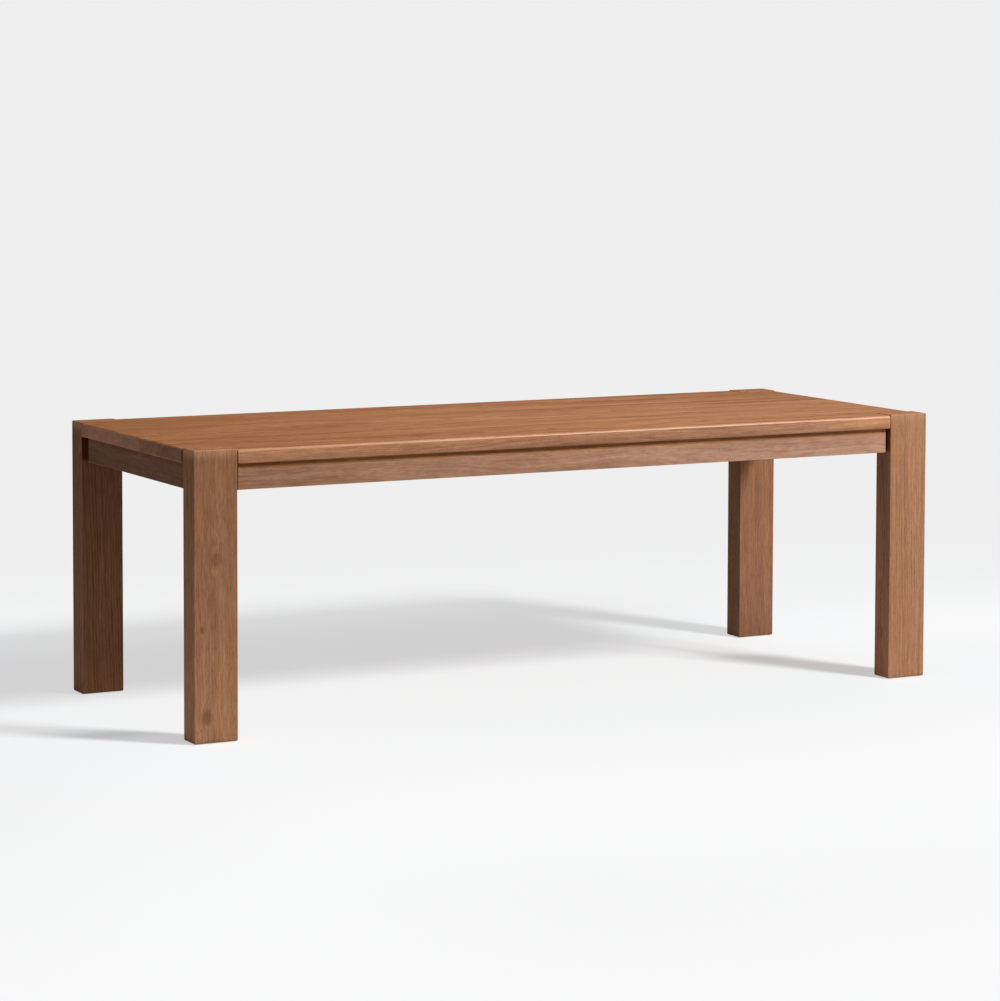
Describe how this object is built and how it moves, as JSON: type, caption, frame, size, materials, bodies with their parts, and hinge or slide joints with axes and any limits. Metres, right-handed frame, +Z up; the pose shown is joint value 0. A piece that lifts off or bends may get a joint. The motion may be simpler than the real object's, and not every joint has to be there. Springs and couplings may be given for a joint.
{
  "type": "dining table",
  "caption": "Long rectangular solid-wood dining table: thick plank top notched round its through legs, on a recessed apron frame with bolted corner blocks.",
  "frame": {"origin": "on the floor, under the middle of the top", "axes": "+X along the table, to the right in the picture; +Y to the back, away from the camera's side; +Z up"},
  "size_m": [2.286, 0.889, 0.768],
  "materials": {
    "top_wood": "brown-stained oak, satin lacquer, grain along the table",
    "leg_wood": "brown-stained oak, satin lacquer, upright grain",
    "apron_wood": "brown-stained oak, satin lacquer, grain along the apron",
    "frame_hardwood": "plain hardwood, thin sealer",
    "zinc_steel": "bright zinc plate",
    "glide_nylon": "dark moulded nylon"
  },
  "bodies": {
    "root": {"apron_back": "apron_wood", "apron_front": "apron_wood", "apron_left": "apron_wood", "apron_right": "apron_wood", "corner_block_back_left": "frame_hardwood", "corner_block_back_right": "frame_hardwood", "corner_block_front_left": "frame_hardwood", "corner_block_front_right": "frame_hardwood", "corner_block_screws": "zinc_steel", "cross_rail_1": "frame_hardwood", "cross_rail_2": "frame_hardwood", "cross_rail_3": "frame_hardwood", "cross_rail_screws": "zinc_steel", "glide_back_left": "glide_nylon", "glide_back_right": "glide_nylon", "glide_front_left": "glide_nylon", "glide_front_right": "glide_nylon", "leg_back_left": "leg_wood", "leg_back_right": "leg_wood", "leg_bolt_nuts": "zinc_steel", "leg_bolt_washers": "zinc_steel", "leg_front_left": "leg_wood", "leg_front_right": "leg_wood", "leg_hanger_bolts": "zinc_steel", "top_board_1": "top_wood", "top_board_2": "top_wood", "top_board_3": "top_wood", "top_board_4": "top_wood", "top_board_5": "top_wood", "top_board_6": "top_wood", "top_board_7": "top_wood", "top_clip_screws": "zinc_steel", "top_clips": "zinc_steel"}
  },
  "joints": []
}
